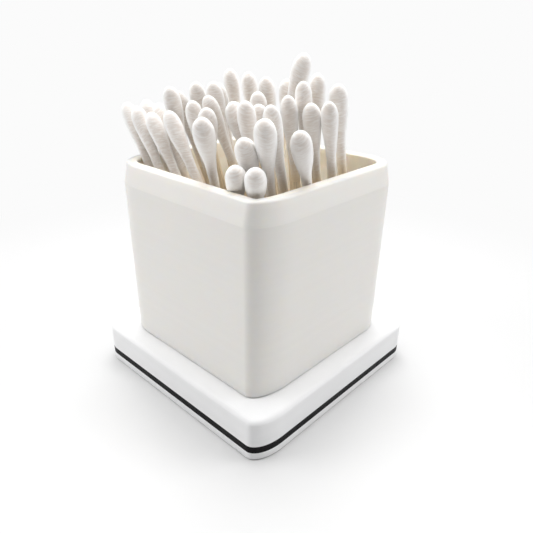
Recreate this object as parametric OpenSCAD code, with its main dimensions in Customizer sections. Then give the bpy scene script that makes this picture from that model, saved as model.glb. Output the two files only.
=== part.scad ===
// Cotton swab holder: a square cup that stands on a square base plate and is filled with swabs.
// Millimetres, +Z up. The origin is under the middle of the base plate, on the surface it
// stands on. The corner at +X and -Y is the front corner.

/* [Base plate] */
// Side of the square base plate
base_side = 72; // [68:0.5:96]
// Thickness of the base plate
base_height = 12.7; // [9:0.1:20]
// How far the front and back corners of the plate are rounded along X
base_corner_x = 4.5; // [3:0.1:6]
// How far the front and back corners of the plate are rounded along Y
base_corner_y = 9; // [6:0.1:12]
// Radius of the left and right corners of the plate
base_corner_side = 6.5; // [4:0.1:10]
// Rounding of the upper edge of the plate
base_edge = 1.4; // [0.6:0.1:2.5]
// Chamfer of the lower edge of the plate
base_chamfer = 0.5; // [0.2:0.1:1]
// Height at which the black stripe starts
stripe_start = 2.5; // [1.5:0.1:4]
// Height of the black stripe
stripe_height = 2.1; // [1:0.1:3.5]

/* [Cup] */
// Side of the cup at its foot
cup_side = 60; // [56:0.5:80]
// Height of the cup
cup_height = 54.4; // [45:0.1:62]
// Thickness of the wall
cup_wall = 3.2; // [2:0.1:4]
// Thickness of the bottom
cup_bottom = 3; // [2:0.1:5]
// How far each side of the cup leans out, from its foot up to the rim band
cup_flare = 0.5; // [0:0.1:1.5]
// Height of the rim band, which leans in again
band_height = 6; // [3:0.1:10]
// How far each side of the band leans in
band_inset = 1.2; // [0:0.1:2]
// How far the front and back corners of the cup are rounded along X
cup_corner_x = 5.2; // [4.4:0.1:9]
// How far the front and back corners of the cup are rounded along Y
cup_corner_y = 11.5; // [8:0.1:14]
// Radius of the left and right corners of the cup
cup_corner_side = 10; // [6:0.1:14]
// Rounding of the rim's two edges
rim_edge = 0.7; // [0.3:0.1:0.9]
// Chamfer at the foot of the cup
cup_chamfer = 0.5; // [0.2:0.1:1]
// Fillet between the bottom and the wall, inside
bottom_fillet = 1.5; // [0.5:0.1:3]

/* [Swabs] */
// Length of a swab from tip to tip
swab_length = 76; // [70:0.5:82]
// Diameter of the stick
stick_diameter = 2.5; // [2:0.1:3]
// Diameter of a cotton bud at its widest place
bud_diameter = 4.8; // [4.2:0.1:5.4]
// Length of a cotton bud along the stick
bud_length = 15; // [12:0.5:18]
// Distance from the tip to the widest place of a bud
bud_widest = 4.2; // [3.5:0.1:6]
// Gap kept between a swab and the cup
wall_clearance = 0.3; // [0.1:0.1:0.5]
// Gap kept between two swabs
swab_clearance = 0.15; // [0.05:0.05:0.4]

/* [Hidden] */
// How each swab lies in the cup: X and Y of its foot, X and Y where it passes the rim, how high it
// is held over the bottom, and the size of its upper bud. Places are in hundredths of the free half
// width, and sizes in hundredths of the bud's diameter.
lies = [
    // Leaning to the left, over the wall at -X
    [12, -92, -99, -88, 0, 96], [40, -92, -75, -90, 0, 98], [70, -82, -53, -83, 0, 96],
    [96, -70, -20, -72, 0, 98], [18, -70, -90, -67, 0, 100], [48, -62, -60, -67, 0, 100],
    // Leaning to the front, over the wall at -Y
    [-95, 12, -67, -54, 0, 100], [-92, 58, -79, -25, 0, 98], [-75, 52, -62, -10, 0, 98],
    [-54, 62, -50, -3, 0, 100], [-83, 33, -40, -50, 0, 98], [-71, 4, -6, -66, 0, 102],
    [-37, 0, 15, -87, 0, 112], [-21, 71, -27, -17, 0, 98],
    // Low in the front corner
    [0, 50, 60, -73, 0, 110], [-58, 25, 63, -92, 0, 107], [-25, 38, 87, -88, 0, 109],
    // Leaning to the front, over the wall at +X
    [29, 17, 79, -64, 0, 112], [58, 29, 80, -46, 0, 92], [0, 71, 31, -16, 0, 100],
    [33, 50, 33, -38, 0, 110], [-37, 75, 1, 8, 0, 100], [30, 71, 56, 2, 0, 92],
    [52, 79, 99, -30, 0, 110], [42, 99, 73, 19, 0, 100], [63, 99, 91, 22, 0, 90],
    [84, 98, 89, 46, 0, 104], [8, 25, 40, -42, 0, 96],
    // Nearly upright, in the middle and at the back
    [-83, 83, -61, 13, 0, 98], [-67, 75, -71, 41, 0, 100], [-48, 92, -46, 49, 0, 100],
    [-24, 96, -14, 45, 0, 100], [0, 91, 17, 42, 0, 98], [54, 56, 67, 13, 0, 92],
    [21, 98, 35, 67, 0, 96],
    // Held up by the buds under it
    [-8, -17, 26, 7, 6.5, 104],
];

// Steps of a rounded corner, of a rounded edge and around a swab
corner_steps = 12;
edge_steps = 4;
swab_sides = 20;
// Smallest radius that a corner keeps where a wall or a fillet uses it up
least_corner = 0.3;
// Distance between two places where swabs are compared
station_step = 3;
// How often the swabs are moved apart, and the share of an overlap that each gives way at a time
settle_passes = 24;
push_share = 0.6;
// Gap under a swab that stands on the bottom
rest_gap = 0.05;

cup_band_start = cup_height - band_height;
stripe_end = stripe_start + stripe_height;
stick_r = stick_diameter / 2;
bud_r = bud_diameter / 2;

// Free half width for a swab's lower bud, and for its stick at the rim
foot_room = cup_side / 2 - cup_wall - bud_r - wall_clearance;
rim_room = cup_side / 2 + cup_flare - band_inset - cup_wall - stick_r - wall_clearance;
// Height of the rim over the middle of a standing swab's lower bud
rim_rise = cup_height - cup_bottom - bud_widest;

function swab_name(i) = str("swab_", i < 10 ? "0" : "", i);
function unit(v) = v / norm(v);
function total(list, i = 0) = i == len(list) ? [0, 0, 0, 0, 0, 0] : list[i] + total(list, i + 1);
function within(value, room) = max(-room, min(room, value));

// A quarter of an ellipse from the angle start on
function quarter(center, rx, ry, start) =
    [for (k = [0 : corner_steps]) let (t = start + 90 * k / corner_steps)
        center + [rx * cos(t), ry * sin(t)]];

// A square with rounded corners, drawn in by inset on each side
function outline(side, corner_x, corner_y, corner_side, inset) =
    let (half = side / 2 - inset, rx = max(least_corner, corner_x - inset),
         ry = max(least_corner, corner_y - inset), rs = max(least_corner, corner_side - inset))
    concat(quarter([half - rs, half - rs], rs, rs, 0), quarter([rx - half, half - ry], rx, ry, 90),
           quarter([rs - half, rs - half], rs, rs, 180), quarter([half - rx, ry - half], rx, ry, 270));
function base_outline(inset) = outline(base_side, base_corner_x, base_corner_y, base_corner_side, inset);
function cup_outline(inset) = outline(cup_side, cup_corner_x, cup_corner_y, cup_corner_side, inset);
function level(points, z) = [for (p = points) [p.x, p.y, z]];

// A closed skin through outlines of equal length, the first and the last of them capped
module skin(levels) {
    n = len(levels[0]);
    last = (len(levels) - 1) * n;
    sides = [for (k = [0 : len(levels) - 2], i = [0 : n - 1])
        let (a = k * n + i, b = k * n + (i + 1) % n) each [[a, a + n, b + n], [a, b + n, b]]];
    bottom = [for (i = [0 : n - 1]) i];
    top = [for (i = [n - 1 : -1 : 0]) last + i];
    polyhedron([for (points = levels) each points], concat([bottom, top], sides));
}

// The plate is printed in one piece: white, a few layers of black, and white again
module base() {
    edge_start = base_height - base_edge;
    color("white") skin([
        level(base_outline(base_chamfer), 0),
        level(base_outline(0), base_chamfer),
        level(base_outline(0), stripe_start)]);
    color("black") translate([0, 0, stripe_start]) linear_extrude(stripe_height) polygon(base_outline(0));
    color("white") skin(concat(
        [level(base_outline(0), stripe_end)],
        [for (k = [0 : edge_steps]) let (t = 90 * k / edge_steps)
            level(base_outline(base_edge * (1 - cos(t))), edge_start + base_edge * sin(t))]));
}

// How far the outside of the cup lies inside its foot's outline, at a height over the plate
function lean_in(z) = z < cup_band_start ? -cup_flare * z / cup_band_start
    : -cup_flare + band_inset * (z - cup_band_start) / band_height;

module cup() {
    edge_z = cup_height - rim_edge;
    fillet_z = cup_bottom + bottom_fillet;
    outside = [
        level(cup_outline(cup_chamfer), 0),
        level(cup_outline(lean_in(cup_chamfer)), cup_chamfer),
        level(cup_outline(lean_in(cup_band_start)), cup_band_start)];
    rim = concat(
        [for (k = [0 : edge_steps]) let (t = 90 * k / edge_steps)
            level(cup_outline(lean_in(edge_z) + rim_edge * (1 - cos(t))),
                  edge_z + rim_edge * sin(t))],
        [for (k = [edge_steps : -1 : 0]) let (t = 90 * k / edge_steps)
            level(cup_outline(lean_in(edge_z) + cup_wall - rim_edge * (1 - cos(t))),
                  edge_z + rim_edge * sin(t))]);
    inside = concat(
        [level(cup_outline(lean_in(cup_band_start) + cup_wall), cup_band_start)],
        [for (k = [0 : edge_steps]) let (t = 90 * k / edge_steps)
            level(cup_outline(lean_in(fillet_z) + cup_wall + bottom_fillet * (1 - cos(t))),
                  fillet_z - bottom_fillet * sin(t))]);
    color("ivory") translate([0, 0, base_height]) skin(concat(outside, rim, inside));
}

// Half the outline of a swab: distance from the tip and radius, along one cotton bud of radius r
function bud_outline(r) = concat(
    [for (k = [0 : edge_steps]) let (t = 90 * k / edge_steps) [bud_widest * (1 - cos(t)), r * sin(t)]],
    [for (k = [1 : edge_steps + 1]) let (t = k / (edge_steps + 1))
        [bud_widest + (bud_length - bud_widest) * t, stick_r + (r - stick_r) * (1 + cos(180 * t)) / 2]]);
function swab_outline(upper_bud) = concat(bud_outline(bud_r),
    [for (k = [len(upper_bud) - 1 : -1 : 0]) [swab_length - upper_bud[k].x, upper_bud[k].y]]);
outlines = [for (lie = lies) swab_outline(bud_outline(bud_r * lie[5] / 100))];

// Swab i in millimetres, its direction, the middle of its lower bud, and its radius at a place
function placed(i) = let (lie = lies[i]) [lie[0] * foot_room / 100, lie[1] * foot_room / 100,
    lie[2] * rim_room / 100, lie[3] * rim_room / 100, lie[4], i];
function direction(p) = unit([p[2] - p[0], p[3] - p[1], rim_rise - p[4]]);
function middle(p) = [p[0], p[1], p[4]];
function radius(p, s) = lookup(s + bud_widest, outlines[p[5]]);

// The places along one swab where its gap to another is measured, from the middle of its lower bud
swab_start = -bud_widest;
swab_end = swab_length - bud_widest;
stations = [for (s = [swab_start : station_step : swab_end]) s];
function gaps(p, q) = let (u = direction(p), v = direction(q), c = middle(p) - middle(q))
    [for (s = stations) let (e = c + s * u, t = max(swab_start, min(swab_end, e * v)), away = e - t * v)
        [norm(away) - radius(p, s) - radius(q, t), s, away]];
function tightest(list) = let (least = min([for (g = list) g[0]])) [for (g = list) if (g[0] == least) g][0];

// Swabs can only meet where their lines come close in plan at one height, up to their tips
tip_share = swab_end / rim_rise;
function near(p, q) = let (a = [p[0] - q[0], p[1] - q[1]], b = [p[2] - q[2], p[3] - q[3]] - a,
        t = b * b == 0 ? 0 : max(0, min(tip_share, -(a * b) / (b * b))))
    norm(a + t * b) < 2 * bud_diameter;

// How far a swab moves away from another that it would cut into, at its foot and at the rim
function push(p, q) = let (m = tightest(gaps(p, q)), lack = swab_clearance - m[0])
    lack <= 0 ? [0, 0, 0, 0, 0, 0]
    : let (h = m[1] * direction(p).z / rim_rise, way = unit([m[2].x, m[2].y]) * lack * push_share,
           n = (1 - h) * (1 - h) + h * h, f = (1 - h) / n, r = h / n)
      [way.x * f, way.y * f, way.x * r, way.y * r, 0, 0];
function kept_in(p) = [within(p[0], foot_room), within(p[1], foot_room),
                       within(p[2], rim_room), within(p[3], rim_room), p[4], p[5]];
function pushes(all, i) =
    [for (j = [0 : len(all) - 1]) if (j != i && near(all[i], all[j])) push(all[i], all[j])];
function settle(all, passes) = passes == 0 ? all
    : settle([for (i = [0 : len(all) - 1]) kept_in(all[i] + total(pushes(all, i)))], passes - 1);
swabs = settle([for (i = [0 : len(lies) - 1]) placed(i)], settle_passes);

// A stick with a cotton bud wound on each end
module swab(i) {
    p = swabs[i - 1];
    u = direction(p);
    slant = norm([u.x, u.y]);
    support = norm([bud_widest * u.z, bud_r * slant]);
    color("white") translate([p[0], p[1], base_height + cup_bottom + rest_gap + support + p[4]])
        rotate([0, atan2(slant, u.z), atan2(u.y, u.x)])
        translate([0, 0, -bud_widest])
        rotate_extrude($fn = swab_sides)
        polygon([for (point = outlines[i - 1]) [point.y, point.x]]);
}

base();
cup();
for (i = [1 : len(lies)]) swab(i);
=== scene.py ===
# Dresses a cotton swab holder: printed plastic, wooden sticks, wound cotton, a floor, soft light
# and a camera. Everything is in metres, with the floor at zero.
import math
import random

import bpy
from bpy.props import FloatProperty, FloatVectorProperty, IntProperty, PointerProperty
from mathutils import Matrix, Vector


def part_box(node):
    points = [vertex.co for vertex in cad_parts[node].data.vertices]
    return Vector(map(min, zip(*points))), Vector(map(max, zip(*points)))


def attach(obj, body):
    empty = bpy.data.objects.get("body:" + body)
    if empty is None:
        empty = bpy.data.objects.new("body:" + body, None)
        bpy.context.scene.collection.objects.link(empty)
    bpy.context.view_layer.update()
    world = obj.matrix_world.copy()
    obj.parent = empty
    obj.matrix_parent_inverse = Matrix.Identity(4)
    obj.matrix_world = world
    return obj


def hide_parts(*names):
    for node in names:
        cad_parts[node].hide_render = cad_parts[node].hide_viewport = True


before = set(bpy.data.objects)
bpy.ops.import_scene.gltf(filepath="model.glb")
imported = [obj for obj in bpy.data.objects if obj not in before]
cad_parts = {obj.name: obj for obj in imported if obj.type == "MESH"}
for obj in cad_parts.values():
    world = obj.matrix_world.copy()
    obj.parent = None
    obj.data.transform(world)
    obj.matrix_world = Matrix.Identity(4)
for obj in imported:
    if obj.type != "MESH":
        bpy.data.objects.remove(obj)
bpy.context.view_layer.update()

bl_info = {
    "name": "Cotton Swab Holder",
    "version": (1, 0, 0),
    "blender": (4, 5, 0),
    "location": "View3D > Sidebar > Swab Holder",
    "description": "Plastic, wood and cotton finishes for a square cup of cotton swabs",
    "category": "Object",
}

# The cup's inside, for its painted glow: its wall at the widest place, and where the painted glow
# begins and ends
CUP_WALL = 0.0032
PAINTED_GLOW_BEGINS = 0.0018
PAINTED_GLOW_ENDS = 0.0012
CREASE_REACH = 0.00002

# The cotton: how far it stands off the stick, and how it rounds off and narrows
NECK_COVER = 0.00005
NECK_TAPER = 0.00025
TIP_ROUNDNESS = 2.2
NARROWING = 1.75
END_STEP = 0.0001
END_SHARE = 0.9
STICK_INSET = 0.003

# The loose fibres: rings along one, sides round it, and how much of the cotton they grow on
FIBRE_RINGS = 4
FIBRE_SIDES = 3
FIBRE_REACH = 0.8
SUNK = 0.00002

# The stage: each lamp's place and the side of its square, what they all face, and the floor
LAMP_TARGET = (0, 0, 0.04)
SIDE_LAMPS = {"left_lamp": (-0.45, -0.46, 0.3), "right_lamp": (0.46, 0.45, 0.3)}
BACK_LAMP = (-0.16, 0.17, 0.7)
TOP_LAMP = (0.05, -0.08, 0.7)
LAMP_SIZE = 0.4
TOP_LAMP_SIZE = 0.6
FLOOR_RADIUS = 4.0
FLOOR_FADES = (0.045, 0.2)

# The camera, worked out from the edges of the cup and the plate: its lens, its turn in degrees, and
# its place along its own axes in half widths of the plate
CAMERA_LENS = 34.302
CAMERA_SHIFT = (0.0131, -0.0152)
CAMERA_TURN, CAMERA_HEIGHT, CAMERA_ROLL = 43.86, 24.70, 0.486
CAMERA_PLACE = {"back": 4.8805, "side": 0.0307, "top": 0.8946}
HALF_PLATE = 0.036

SWAB_NAMES = sorted(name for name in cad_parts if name.startswith("swab_"))


def swab_place(node):
    """A swab's lower tip, its upper tip and how large its upper bud is beside its lower one."""
    points = [v.co.copy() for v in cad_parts[node].data.vertices]
    middle = sum(points, Vector()) / len(points)
    one = max(points, key=lambda p: (p - middle).length)
    other = max(points, key=lambda p: (p - one).length)
    low, high = sorted((one, other), key=lambda p: p.z)
    axis = (high - low).normalized()
    wide = {False: 0.0, True: 0.0}
    for point in points:
        along = (point - low).dot(axis)
        upper = along > (high - low).length / 2
        wide[upper] = max(wide[upper], (point - low - axis * along).length)
    return low, high, wide[True] / wide[False]


PLACES = {name: swab_place(name) for name in SWAB_NAMES}
SWAB_LENGTH = max((high - low).length for low, high, _ in PLACES.values())


class PlasticSettings(bpy.types.PropertyGroup):
    cup_colour: FloatVectorProperty(
        name="Cup", description="Warm white of the cup", subtype="COLOR", size=3, min=0, max=1,
        default=(0.845, 0.83, 0.80))
    # Painted glow: the inside is the plastic's white made brighter and warmer, for light shining
    # through the wall and bouncing off the sticks.
    inside_painted_glow: FloatVectorProperty(
        name="Inside", description="Cream tint of the cup's inside", subtype="COLOR", size=3,
        min=0, max=1, default=(1.0, 0.935, 0.85))
    plate_colour: FloatVectorProperty(
        name="Plate", description="Cool white of the base plate", subtype="COLOR", size=3, min=0,
        max=1, default=(0.93, 0.93, 0.935))
    stripe_colour: FloatVectorProperty(
        name="Stripe", description="Black layers of the base plate", subtype="COLOR", size=3,
        min=0, max=1, default=(0.006, 0.005, 0.006))
    stripe_start: FloatProperty(
        name="Stripe start", description="Height at which the black layers start", unit="LENGTH",
        default=0.0025)
    stripe_height: FloatProperty(
        name="Stripe height", description="Height of the black layers", unit="LENGTH",
        default=0.0021)
    band_height: FloatProperty(
        name="Rim band", description="Height of the rim band of the solid", unit="LENGTH",
        default=0.006)
    # The rim band's lift is painted light: the band is coloured lighter for the light its inward
    # lean catches.
    band_painted_light: FloatProperty(
        name="Band painted light", description="How much lighter the rim band is", default=0.025, min=0)
    layer: FloatProperty(
        name="Layer", description="Thickness of one printed layer", unit="LENGTH", default=0.0002)


class SwabSettings(bpy.types.PropertyGroup):
    cotton_colour: FloatVectorProperty(
        name="Cotton", description="White of the cotton", subtype="COLOR", size=3, min=0, max=1,
        default=(0.945, 0.917, 0.888))
    shade_colour: FloatVectorProperty(
        name="Cotton shade", description="Cotton between its windings", subtype="COLOR", size=3,
        min=0, max=1, default=(0.82, 0.76, 0.705))
    wood_colour: FloatVectorProperty(
        name="Wood", description="Colour of the sticks", subtype="COLOR", size=3, min=0, max=1,
        default=(0.95, 0.83, 0.64))
    stick_diameter: FloatProperty(
        name="Stick", description="Diameter of a stick", unit="LENGTH", default=0.0023)
    bud_diameter: FloatProperty(
        name="Bud", description="Largest diameter of a cotton bud", unit="LENGTH", default=0.0048)
    bud_widest: FloatProperty(
        name="Widest at", description="Distance from the tip to the widest place", unit="LENGTH",
        default=0.0044)
    cotton_length: FloatProperty(
        name="Cotton length", description="How far the cotton runs down the stick", unit="LENGTH",
        default=0.025)
    cotton_end: FloatProperty(
        name="Cotton end", description="Length over which the cotton thins out on the stick",
        unit="LENGTH", default=0.0115)
    winding: FloatProperty(
        name="Winding", description="Slant of the windings", default=0.3)
    fibres: IntProperty(
        name="Fibres", description="Loose fibres on an upper bud", default=170, min=0)
    seed: IntProperty(
        name="Seed", description="Start of the small differences between swabs", default=11)


class StageSettings(bpy.types.PropertyGroup):
    floor_colour: FloatVectorProperty(
        name="Floor", description="Colour of the floor", subtype="COLOR", size=3, min=0, max=1,
        default=(0.72, 0.72, 0.72))
    backdrop: FloatProperty(
        name="Backdrop", description="Brightness of the empty background", default=0.965, min=0,
        max=1)
    fill: FloatProperty(
        name="Fill", description="Strength of the light from all round", default=0.02, min=0)
    side_light: FloatProperty(
        name="Sides", description="Power of the two side lamps", unit="POWER", default=2.1, min=0)
    back_light: FloatProperty(
        name="Back", description="Power of the lamp high behind the holder", unit="POWER",
        default=3.4, min=0)
    top_light: FloatProperty(
        name="Top", description="Power of the lamp overhead", unit="POWER", default=3.65, min=0)


def settings():
    return bpy.context.scene.swab_holder


class HolderSettings(bpy.types.PropertyGroup):
    plastic: PointerProperty(type=PlasticSettings)
    swabs: PointerProperty(type=SwabSettings)
    stage: PointerProperty(type=StageSettings)


# Node helpers

def new_material(name):
    """A material with one Principled shader, its node tree and that shader."""
    material = bpy.data.materials.new(name)
    material.use_nodes = True
    tree = material.node_tree
    return material, tree, tree.nodes["Principled BSDF"]


def connect(tree, made, inputs):
    """Fills in inputs of a node: a value is set, a socket is linked."""
    for key, value in inputs.items():
        if isinstance(value, bpy.types.NodeSocket):
            tree.links.new(value, made.inputs[key])
        else:
            made.inputs[key].default_value = value


def node(tree, kind, inputs=None, **values):
    """Adds a node, with its settings by name and its inputs as connect takes them."""
    made = tree.nodes.new(kind)
    for name, value in values.items():
        setattr(made, name, value)
    connect(tree, made, inputs or {})
    return made


def calc(tree, operation, *terms):
    return node(tree, "ShaderNodeMath", dict(enumerate(terms)), operation=operation).outputs[0]


def ramp(tree, factor, low, high):
    """0 below low, 1 above high, and smooth between them. With low above high it falls instead."""
    return node(tree, "ShaderNodeMapRange", {"Value": factor, "From Min": low, "From Max": high},
                interpolation_type="SMOOTHSTEP").outputs[0]


def ramp_between(tree, factor, low, high):
    """Spreads a mask over the values from low to high."""
    return node(tree, "ShaderNodeMapRange",
                {"Value": factor, "To Min": low, "To Max": high}).outputs[0]


def blend_colour(tree, factor, one, other):
    return node(tree, "ShaderNodeMix", {0: factor, 6: one, 7: other}, data_type="RGBA").outputs[2]


def noise(tree, inputs, **values):
    return node(tree, "ShaderNodeTexNoise", inputs, **values).outputs["Fac"]


def bump(tree, height, strength, distance):
    """The normal that a height pattern gives."""
    return node(tree, "ShaderNodeBump",
                {"Height": height, "Strength": strength, "Distance": distance}).outputs[0]


def rgba(colour, share=1.0):
    return (colour[0] * share, colour[1] * share, colour[2] * share, 1.0)


def new_group(name, inputs, outputs):
    """A node group with named sockets, and its input and output nodes."""
    group = bpy.data.node_groups.new(name, "ShaderNodeTree")
    for label, kind, value in inputs:
        made = group.interface.new_socket(name=label, in_out="INPUT", socket_type=kind)
        if value is not None:
            made.default_value = value
    for label, kind in outputs:
        group.interface.new_socket(name=label, in_out="OUTPUT", socket_type=kind)
    return group, group.nodes.new("NodeGroupInput"), group.nodes.new("NodeGroupOutput")


FLOAT, VECTOR = "NodeSocketFloat", "NodeSocketVector"


def printed_layers():
    """The fine ridges of a plastic print: one round-backed ridge a layer, with small errors."""
    group, given, out = new_group(
        "Printed layers",
        [("Place", VECTOR, None), ("Layer", FLOAT, 0.0002), ("Unevenness", FLOAT, 0.25)],
        [("Height", FLOAT), ("Shade", FLOAT), ("Gloss", FLOAT)])
    place = given.outputs["Place"]
    z = node(group, "ShaderNodeSeparateXYZ", {0: place}).outputs["Z"]
    turns = calc(group, "DIVIDE", z, given.outputs["Layer"])
    wave = calc(group, "SINE", calc(group, "MULTIPLY", turns, math.pi))
    ridge = calc(group, "ABSOLUTE", wave)
    one_layer = node(group, "ShaderNodeTexWhiteNoise", {"W": calc(group, "FLOOR", turns)},
                     noise_dimensions="1D").outputs["Value"]
    bands = noise(group, {"W": turns, "Scale": 0.11, "Detail": 3.0}, noise_dimensions="1D")
    blotch = noise(group, {"Vector": place, "Scale": 140.0, "Detail": 4.0, "Roughness": 0.6})
    errors = calc(group, "ADD", one_layer, bands)
    uneven = calc(group, "MULTIPLY", errors, given.outputs["Unevenness"])
    height = calc(group, "ADD", calc(group, "MULTIPLY", ridge, 0.6), uneven)
    shade = calc(group, "ADD", calc(group, "MULTIPLY", bands, 0.55),
                 calc(group, "MULTIPLY", blotch, 0.45))
    patchy = calc(group, "ADD", blotch, calc(group, "MULTIPLY", one_layer, 0.3))
    group.links.new(height, out.inputs["Height"])
    group.links.new(shade, out.inputs["Shade"])
    group.links.new(ramp(group, patchy, 0.3, 1.0), out.inputs["Gloss"])
    return group


def long_fibres():
    """Streaks along or around a piece: the noise is stretched by the three given scales."""
    group, given, out = new_group(
        "Long fibres",
        [("Place", VECTOR, None), ("Scale", VECTOR, (1.0, 1.0, 1.0)), ("Fine", FLOAT, 2.7)],
        [("Height", FLOAT), ("Mask", FLOAT)])
    spread = node(group, "ShaderNodeVectorMath",
                  {0: given.outputs["Place"], 1: given.outputs["Scale"]},
                  operation="MULTIPLY").outputs[0]
    coarse = noise(group, {"Vector": spread, "Scale": 1.0, "Detail": 4.0, "Roughness": 0.55,
                           "Distortion": 0.35})
    fine = noise(group, {"Vector": spread, "Scale": given.outputs["Fine"], "Detail": 5.0,
                         "Roughness": 0.7})
    height = calc(group, "ADD", calc(group, "MULTIPLY", coarse, 0.65),
                  calc(group, "MULTIPLY", fine, 0.35))
    group.links.new(height, out.inputs["Height"])
    group.links.new(ramp(group, coarse, 0.35, 0.7), out.inputs["Mask"])
    return group


def printed_group():
    return bpy.data.node_groups.get("Printed layers") or printed_layers()


def fibre_group():
    return bpy.data.node_groups.get("Long fibres") or long_fibres()


# Materials

def object_place(tree):
    return node(tree, "ShaderNodeTexCoord").outputs["Object"]


def stored(tree, name, output):
    """Reads what keep_place stored on a swab's points."""
    return node(tree, "ShaderNodeAttribute", attribute_name=name).outputs[output]


def cup_plastic(layers):
    """Warm white and faintly see-through, with layer lines, painted light on the rim band and a
    cream painted glow inside.
    """
    own = settings().plastic
    material, tree, shader = new_material("cup_plastic")
    place = object_place(tree)
    printed = node(tree, "ShaderNodeGroup",
                   {"Place": place, "Layer": own.layer, "Unevenness": 0.3}, node_tree=layers)
    outer = blend_colour(tree, ramp(tree, printed.outputs["Shade"], 0.3, 0.7),
                         rgba(own.cup_colour, 0.992), rgba(own.cup_colour, 1.005))
    split = node(tree, "ShaderNodeSeparateXYZ", {0: place})
    crease = crease_height()
    # Painted light: above the crease the rim band is coloured lighter, for the light its inward
    # lean catches.
    band = ramp(tree, split.outputs["Z"], crease - own.layer / 2, crease + own.layer / 2)
    lighter = calc(tree, "ADD", 1.0, calc(tree, "MULTIPLY", band, own.band_painted_light))
    outer = node(tree, "ShaderNodeVectorMath", {0: outer, "Scale": lighter},
                 operation="SCALE").outputs[0]
    # The sixth powers trace the cup's rounded square, so the painted glow stops short of the
    # outside
    sixths = [calc(tree, "POWER", calc(tree, "ABSOLUTE", split.outputs[side]), 6.0)
              for side in ("X", "Y")]
    aside = calc(tree, "POWER", calc(tree, "ADD", *sixths), 1 / 6)
    inside = ramp(tree, aside, inner_half() + PAINTED_GLOW_BEGINS, inner_half() + PAINTED_GLOW_ENDS)
    # The base colour carries painted light: a brighter cream glow inside the cup and the lighter
    # rim band.
    connect(tree, shader, {
        "Base Color": blend_colour(tree, inside, outer, rgba(own.inside_painted_glow)),
        "Roughness": ramp_between(tree, printed.outputs["Gloss"], 0.36, 0.48),
        "Subsurface Weight": 0.5,
        "Subsurface Radius": (1.0, 0.85, 0.65),
        "Subsurface Scale": 0.0022,
        "Normal": bump(tree, printed.outputs["Height"], 0.12, 0.00003)})
    return material


def inner_half():
    """Half the widest inner width of the cup: the solid's outline, less its wall."""
    low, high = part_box("cup")
    return (high[0] - low[0]) / 2 - CUP_WALL


def crease_height():
    """Where the cup's walls end and its rim band starts."""
    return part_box("cup")[1][2] - settings().plastic.band_height


def plate_plastic(layers):
    """Clean white with a stripe of black layers round it."""
    own = settings().plastic
    material, tree, shader = new_material("plate_plastic")
    place = object_place(tree)
    z = node(tree, "ShaderNodeSeparateXYZ", {0: place}).outputs["Z"]
    printed = node(tree, "ShaderNodeGroup",
                   {"Place": place, "Layer": own.layer, "Unevenness": 0.35}, node_tree=layers)
    white = blend_colour(tree, ramp(tree, printed.outputs["Shade"], 0.3, 0.7),
                         rgba(own.plate_colour, 0.97), rgba(own.plate_colour, 1.0))
    soft = own.layer / 5
    above = ramp(tree, z, own.stripe_start - soft, own.stripe_start + soft)
    top = own.stripe_start + own.stripe_height
    below = ramp(tree, z, top + soft, top - soft)
    stripe = calc(tree, "MULTIPLY", above, below)
    connect(tree, shader, {
        "Base Color": blend_colour(tree, stripe, white, rgba(own.stripe_colour)),
        "Roughness": ramp_between(tree, printed.outputs["Gloss"], 0.4, 0.55),
        "Specular IOR Level": 0.08,
        "Normal": bump(tree, printed.outputs["Height"], 0.5, 0.00005)})
    return material


def cotton(fibres):
    """Wound cotton: matte, with fine windings, painted light on its edges and a thin end on the
    stick.
    """
    own = settings().swabs
    material, tree, shader = new_material("cotton")
    wound = node(tree, "ShaderNodeGroup",
                 {"Place": stored(tree, "wound", "Vector"), "Scale": (0.5, 0.5, 2.8), "Fine": 2.6},
                 node_tree=fibres)
    white = blend_colour(tree, wound.outputs["Mask"],
                         rgba(own.shade_colour), rgba(own.cotton_colour))
    thin = calc(tree, "ADD", stored(tree, "cover", "Fac"),
                calc(tree, "MULTIPLY", wound.outputs["Height"], 0.5))
    # Painted light: the cotton's colour is lighter towards its edges, for the light its loose
    # fibres catch from behind.
    edge = node(tree, "ShaderNodeLayerWeight", {"Blend": 0.45}).outputs["Facing"]
    painted_edge_light = blend_colour(tree, ramp(tree, edge, 0.05, 0.6), white, rgba((1.0, 0.995, 0.985)))
    full = ramp(tree, thin, 0.15, 1.0)
    connect(tree, shader, {
        "Base Color": blend_colour(tree, full, rgba(own.wood_colour), painted_edge_light),
        "Roughness": 0.95,
        "Specular IOR Level": 0.15,
        "Sheen Weight": 0.5,
        "Sheen Roughness": 0.4,
        "Normal": bump(tree, wound.outputs["Height"], 0.3, 0.0003)})
    return material


def birch(fibres):
    """Pale wood with its grain along the stick."""
    own = settings().swabs
    material, tree, shader = new_material("stick_wood")
    grain = node(tree, "ShaderNodeGroup",
                 {"Place": stored(tree, "wound", "Vector"), "Scale": (3.0, 3.0, 0.12), "Fine": 2.3},
                 node_tree=fibres)
    connect(tree, shader, {
        "Base Color": blend_colour(tree, grain.outputs["Mask"],
                                   rgba(own.wood_colour, 0.8), rgba(own.wood_colour, 1.08)),
        "Roughness": 0.7,
        "Specular IOR Level": 0.3,
        "Normal": bump(tree, grain.outputs["Height"], 0.5, 0.00008)})
    return material


# Modelling helpers

def deselect():
    bpy.ops.object.select_all(action="DESELECT")


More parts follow.
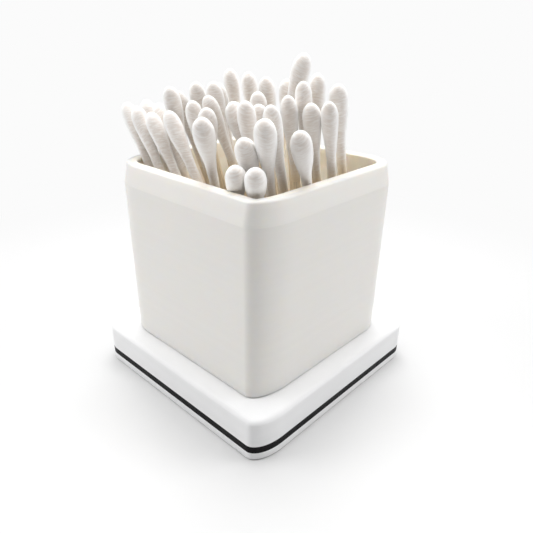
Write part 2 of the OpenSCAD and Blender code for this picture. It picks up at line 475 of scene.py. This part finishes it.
def dress(node_name, material, crease=None):
    """Gives a solid of the frame its finish: its loose triangles are welded and shaded smoothly,
    but for a crease all round at one height."""
    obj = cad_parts[node_name]
    obj.data.materials.clear()
    obj.data.materials.append(material)
    for polygon in obj.data.polygons:
        polygon.use_smooth = True
        polygon.material_index = 0
    if crease is not None:
        level = [abs(vertex.co.z - crease) < CREASE_REACH for vertex in obj.data.vertices]
        for edge in obj.data.edges:
            edge.use_edge_sharp = level[edge.vertices[0]] and level[edge.vertices[1]]
    weld = obj.modifiers.new("Weld", "WELD")
    weld.merge_threshold = 0.000001
    obj.modifiers.new("Weighted normals", "WEIGHTED_NORMAL").keep_sharp = True


def spun_profile(name, profile, steps):
    """A closed body of revolution about Z, spun in edit mode from its half outline."""
    deselect()
    bpy.ops.mesh.primitive_plane_add(size=0.001)
    obj = bpy.context.object
    obj.name = name
    bpy.ops.object.mode_set(mode="EDIT")
    bpy.ops.mesh.merge(type="CENTER")
    bpy.ops.transform.translate(value=(profile[0][1], 0, profile[0][0]))
    for (z0, r0), (z1, r1) in zip(profile, profile[1:]):
        step = (r1 - r0, 0, z1 - z0)
        bpy.ops.mesh.extrude_region_move(TRANSFORM_OT_translate={"value": step})
    bpy.ops.mesh.select_all(action="SELECT")
    bpy.ops.mesh.spin(steps=steps, angle=math.tau, center=(0, 0, 0), axis=(0, 0, 1))
    bpy.ops.mesh.select_all(action="SELECT")
    bpy.ops.mesh.remove_doubles(threshold=0.0000005)
    bpy.ops.mesh.normals_make_consistent(inside=False)
    bpy.ops.object.mode_set(mode="OBJECT")
    for polygon in obj.data.polygons:
        polygon.use_smooth = True
    return obj


def cotton_radius(s, swell=1.0):
    """Radius of the cotton at the distance s from the tip."""
    own = settings().swabs
    stick, bud, widest = own.stick_diameter / 2, own.bud_diameter / 2 * swell, own.bud_widest
    if s < widest:
        t = 1 - s / widest
        return bud * math.sqrt(max(0.0, 1 - t ** TIP_ROUNDNESS))
    t = (s - widest) / (own.cotton_length - widest)
    neck = stick + NECK_COVER + NECK_TAPER * max(0.0, 1 - t)
    return neck + (bud - neck) * (0.5 + 0.5 * math.cos(math.pi * min(1.0, t * NARROWING)))


def cotton_profile(rings):
    """Half outline of a bud, from its tip down the stick and closed under the cotton's end."""
    own = settings().swabs
    end = own.cotton_length
    outline = [(0.0, 0.0)]
    for k in range(1, rings + 1):
        s = end * (k / rings) ** 2
        outline.append((-s, cotton_radius(s)))
    # One more ring close to the end keeps the shading even up to it
    outline.insert(-1, (-end + END_STEP, cotton_radius(end - END_STEP)))
    outline.append((-end - END_STEP, own.stick_diameter / 2 * END_SHARE))
    outline.append((-end - END_STEP, 0.0))
    return outline


def master_stick():
    """A stick along Z that ends inside the cotton, its middle at the origin."""
    own = settings().swabs
    deselect()
    bpy.ops.mesh.primitive_cylinder_add(vertices=16, radius=own.stick_diameter / 2,
                                        depth=SWAB_LENGTH - 2 * STICK_INSET)
    obj = bpy.context.object
    bpy.ops.object.mode_set(mode="EDIT")
    bpy.ops.mesh.select_all(action="SELECT")
    bpy.ops.mesh.bisect(plane_co=(0, 0, 0), plane_no=(0, 0, 1))
    bpy.ops.object.mode_set(mode="OBJECT")
    for polygon in obj.data.polygons:
        polygon.use_smooth = abs(polygon.normal.z) < 0.5
    return obj


def loose_fibres(count, chance, swell):
    """Vertices and faces of short thin fibres that lie round a bud and lift off at their ends."""
    own = settings().swabs
    points, faces = [], []
    for _ in range(count):
        s = own.cotton_length * FIBRE_REACH * chance.random() ** 1.3 + 0.0002
        turn = chance.uniform(0, math.tau)
        length = chance.uniform(0.0006, 0.0019)
        climb = chance.gauss(0.0, 0.5)
        lift = chance.uniform(0.00002, 0.0002)
        thick = chance.uniform(0.000009, 0.000016)
        base = len(points)
        for k in range(FIBRE_RINGS):
            t = k / (FIBRE_RINGS - 1)
            along = (t - 0.5) * length
            here = min(max(s + along * math.sin(climb), 0.0001), own.cotton_length)
            r = cotton_radius(here, swell)
            angle = turn + along * math.cos(climb) / max(r, 0.0008)
            out = r - SUNK + lift * (2 * t - 1) ** 2 * (1 if k == FIBRE_RINGS - 1 else 0.3)
            way = Vector((math.cos(angle), math.sin(angle), 0))
            centre = way * out + Vector((0, 0, -here))
            slim = thick * (1.0 - 0.7 * abs(2 * t - 1))
            for j in range(FIBRE_SIDES):
                a = math.tau * j / FIBRE_SIDES
                points.append(centre + way * math.cos(a) * slim
                              + Vector((0, 0, 1)) * math.sin(a) * slim)
        for ring in range(base, base + FIBRE_SIDES * (FIBRE_RINGS - 1), FIBRE_SIDES):
            for j in range(FIBRE_SIDES):
                a, b = ring + j, ring + (j + 1) % FIBRE_SIDES
                faces.append((a, b, b + FIBRE_SIDES, a + FIBRE_SIDES))
        faces.append(tuple(reversed(range(base, base + FIBRE_SIDES))))
        faces.append(tuple(range(len(points) - FIBRE_SIDES, len(points))))
    return points, faces


def roughen(mesh, chance, depth, swell):
    """Gives a bud its own size and a little unevenness, with shallow waves along and round it."""
    # Four phases are used. Two more are drawn, so that the draws after them stay as they were
    phases = [chance.uniform(0, math.tau) for _ in range(6)]
    for vertex in mesh.vertices:
        p = vertex.co
        usual = cotton_radius(-p.z)
        if usual > 0:
            own_size = cotton_radius(-p.z, swell) / usual
            p = Vector((p.x, p.y, 0)) * own_size + Vector((0, 0, p.z))
        angle = math.atan2(p.y, p.x)
        wave = (math.sin(2 * angle + phases[0] + p.z * 500)
                + math.sin(3 * angle + phases[1] - p.z * 900)
                + 0.7 * math.sin(p.z * 2600 + angle + phases[2])
                + 0.5 * math.sin(5 * angle + phases[3] + p.z * 1700))
        share = 1 + depth * wave / 3
        vertex.co = Vector((p.x * share, p.y * share, p.z))


def keep_place(mesh, shift):
    """Stores on each point its place on the unturned swab, in millimetres and slanted for the
    windings, and how well the cotton covers the stick there."""
    own = settings().swabs
    mesh.attributes.new("wound", "FLOAT_VECTOR", "POINT")
    mesh.attributes.new("cover", "FLOAT", "POINT")
    wound, cover = mesh.attributes["wound"].data, mesh.attributes["cover"].data
    for vertex, item, share in zip(mesh.vertices, wound, cover):
        slanted = vertex.co + Vector((0, 0, own.winding * vertex.co.x))
        item.vector = (slanted + shift) * 1000
        bare = abs(vertex.co.z) - (SWAB_LENGTH / 2 - own.cotton_length)
        share.value = min(1.0, max(0.0, bare / own.cotton_end))


class HOLDER_OT_cup(bpy.types.Operator):
    """Give the cup its silky warm white plastic"""
    bl_idname = "holder.cup"
    bl_label = "Cup"

    def execute(self, context):
        dress("cup", cup_plastic(printed_group()), crease_height())
        return {"FINISHED"}


class HOLDER_OT_plate(bpy.types.Operator):
    """Give the base plate its white plastic and its black stripe"""
    bl_idname = "holder.plate"
    bl_label = "Base plate"

    def execute(self, context):
        dress("base", plate_plastic(printed_group()))
        return {"FINISHED"}


class HOLDER_OT_swabs(bpy.types.Operator):
    """Make each swab: a wooden stick with cotton wound on both of its ends"""
    bl_idname = "holder.swabs"
    bl_label = "Swabs"

    def execute(self, context):
        own = settings().swabs
        chance = random.Random(own.seed)
        wool, wood = cotton(fibre_group()), birch(fibre_group())
        stick = master_stick()
        upper = spun_profile("upper_bud", cotton_profile(26), 40)
        lower = spun_profile("lower_bud", cotton_profile(12), 16)
        for name in SWAB_NAMES:
            self.one_swab(name, stick, upper, lower, wool, wood, chance)
        for master in (stick, upper, lower):
            bpy.data.objects.remove(master)
        return {"FINISHED"}

    def one_swab(self, name, stick, upper, lower, wool, wood, chance):
        low, high, swell = PLACES[name]
        turn = (high - low).normalized().to_track_quat("Z", "Y").to_matrix().to_4x4()
        spin = Matrix.Rotation(chance.uniform(0, math.tau), 4, "Z")
        middle = Matrix.Translation((low + high) / 2)
        half = SWAB_LENGTH / 2
        to_end = Matrix.Translation((0, 0, half))
        pieces = [self.part(name, stick.data.copy(), wood)]
        for master, flip in ((upper, False), (lower, True)):
            mesh = master.data.copy()
            pieces.append(self.part(name, mesh, wool))
            roughen(mesh, chance, 0.01 if flip else 0.025, 1.0 if flip else swell)
            mesh.transform(Matrix.Rotation(chance.uniform(0, math.tau), 4, "Z"))
            mesh.transform(Matrix.Rotation(math.pi, 4, "X") @ to_end if flip else to_end)
        points, faces = loose_fibres(settings().swabs.fibres, chance, swell)
        fuzz = bpy.data.meshes.new(name + "_fuzz")
        fuzz.from_pydata([p + Vector((0, 0, half)) for p in points], [], faces)
        pieces.append(self.part(name, fuzz, wool))
        shift = Vector([chance.uniform(-50, 50) for _ in range(3)]) / 1000
        deselect()
        for piece in pieces:
            keep_place(piece.data, shift)
            piece.data.transform(middle @ turn @ spin)
            piece.select_set(True)
        bpy.context.view_layer.objects.active = pieces[0]
        bpy.ops.object.join()
        made = bpy.context.object
        made.name = name.replace("swab", "cotton_swab")
        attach(made, "root")
        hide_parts(name)

    def part(self, name, mesh, material):
        mesh.materials.clear()
        mesh.materials.append(material)
        piece = bpy.data.objects.new(name + "_part", mesh)
        bpy.context.scene.collection.objects.link(piece)
        return piece


class HOLDER_OT_stage(bpy.types.Operator):
    """Set up the pale floor, the soft lamps and the camera"""
    bl_idname = "holder.stage"
    bl_label = "Stage"

    def execute(self, context):
        self.floor()
        self.world()
        self.lamps()
        self.camera()
        return {"FINISHED"}

    def floor(self):
        own = settings().stage
        deselect()
        bpy.ops.mesh.primitive_circle_add(vertices=96, radius=FLOOR_RADIUS, fill_type="NGON")
        obj = bpy.context.object
        obj.name = "floor"
        material, tree, shader = new_material("floor")
        connect(tree, shader, {"Base Color": rgba(own.floor_colour), "Roughness": 0.9,
                               "Specular IOR Level": 0.1})
        # Away from the holder the camera sees the backdrop's brightness in place of the floor
        away = node(tree, "ShaderNodeVectorMath", {0: object_place(tree)},
                    operation="LENGTH").outputs["Value"]
        seen = node(tree, "ShaderNodeLightPath").outputs["Is Camera Ray"]
        share = calc(tree, "MULTIPLY", ramp(tree, away, *FLOOR_FADES), seen)
        glow = node(tree, "ShaderNodeEmission",
                    {"Color": rgba((1, 1, 1)), "Strength": own.backdrop})
        mix = node(tree, "ShaderNodeMixShader",
                   {0: share, 1: shader.outputs[0], 2: glow.outputs[0]})
        tree.links.new(mix.outputs[0], tree.nodes["Material Output"].inputs["Surface"])
        obj.data.materials.append(material)

    def world(self):
        own = settings().stage
        world = bpy.data.worlds.new("studio")
        bpy.context.scene.world = world
        world.use_nodes = True
        tree = world.node_tree
        tree.nodes.clear()
        path = node(tree, "ShaderNodeLightPath").outputs["Is Camera Ray"]
        fill, seen = (node(tree, "ShaderNodeBackground",
                           {"Color": rgba((1, 1, 1)), "Strength": strength})
                      for strength in (own.fill, own.backdrop))
        mix = node(tree, "ShaderNodeMixShader", {0: path, 1: fill.outputs[0], 2: seen.outputs[0]})
        out = node(tree, "ShaderNodeOutputWorld")
        tree.links.new(mix.outputs[0], out.inputs["Surface"])

    def lamp(self, name, place, size, power):
        light = bpy.data.lights.new(name, "AREA")
        light.shape = "SQUARE"
        light.size = size
        light.energy = power
        obj = bpy.data.objects.new(name, light)
        bpy.context.scene.collection.objects.link(obj)
        obj.location = place
        ahead = Vector(LAMP_TARGET) - Vector(place)
        obj.rotation_euler = ahead.to_track_quat("-Z", "Y").to_euler()

    def lamps(self):
        own = settings().stage
        for name, place in SIDE_LAMPS.items():
            self.lamp(name, place, LAMP_SIZE, own.side_light)
        self.lamp("back_lamp", BACK_LAMP, LAMP_SIZE, own.back_light)
        self.lamp("top_lamp", TOP_LAMP, TOP_LAMP_SIZE, own.top_light)

    def camera(self):
        data = bpy.data.cameras.new("camera")
        data.sensor_fit = "HORIZONTAL"
        data.sensor_width = 36.0
        data.lens = CAMERA_LENS
        data.shift_x, data.shift_y = CAMERA_SHIFT
        data.clip_start = 0.01
        obj = bpy.data.objects.new("camera", data)
        bpy.context.scene.collection.objects.link(obj)
        az, el, roll = (math.radians(angle) for angle in (CAMERA_TURN, CAMERA_HEIGHT, CAMERA_ROLL))
        back = Vector((math.sin(az) * math.cos(el), -math.cos(az) * math.cos(el), math.sin(el)))
        right = (-back).cross(Vector((0, 0, 1))).normalized()
        up = right.cross(-back)
        side = right * math.cos(roll) + up * math.sin(roll)
        top = up * math.cos(roll) - right * math.sin(roll)
        place = (back * CAMERA_PLACE["back"] + side * CAMERA_PLACE["side"]
                 + top * CAMERA_PLACE["top"]) * HALF_PLATE
        turn = Matrix((side, top, back)).transposed().to_4x4()
        obj.matrix_world = Matrix.Translation(place) @ turn
        bpy.context.scene.camera = obj


class HOLDER_PT_panel(bpy.types.Panel):
    """The holder's sizes, colours and steps"""
    bl_label = "Swab Holder"
    bl_idname = "HOLDER_PT_panel"
    bl_space_type = "VIEW_3D"
    bl_region_type = "UI"
    bl_category = "Swab Holder"

    def draw(self, context):
        own = context.scene.swab_holder
        for title, group, operators in (("Plastic", own.plastic, ("holder.cup", "holder.plate")),
                                        ("Swabs", own.swabs, ("holder.swabs",)),
                                        ("Stage", own.stage, ("holder.stage",))):
            box = self.layout.box()
            box.label(text=title)
            for name in group.__annotations__:
                box.prop(group, name)
            for operator in operators:
                box.operator(operator)


CLASSES = (PlasticSettings, SwabSettings, StageSettings, HolderSettings,
           HOLDER_OT_cup, HOLDER_OT_plate, HOLDER_OT_swabs, HOLDER_OT_stage, HOLDER_PT_panel)


def register():
    for cls in CLASSES:
        bpy.utils.register_class(cls)
    bpy.types.Scene.swab_holder = PointerProperty(type=HolderSettings)


def unregister():
    del bpy.types.Scene.swab_holder
    for cls in reversed(CLASSES):
        bpy.utils.unregister_class(cls)


def main():
    register()
    bpy.context.scene.view_settings.view_transform = "Standard"
    bpy.ops.holder.cup()
    bpy.ops.holder.plate()
    bpy.ops.holder.swabs()
    bpy.ops.holder.stage()
    bpy.context.view_layer.update()


if __name__ == "__main__":
    main()
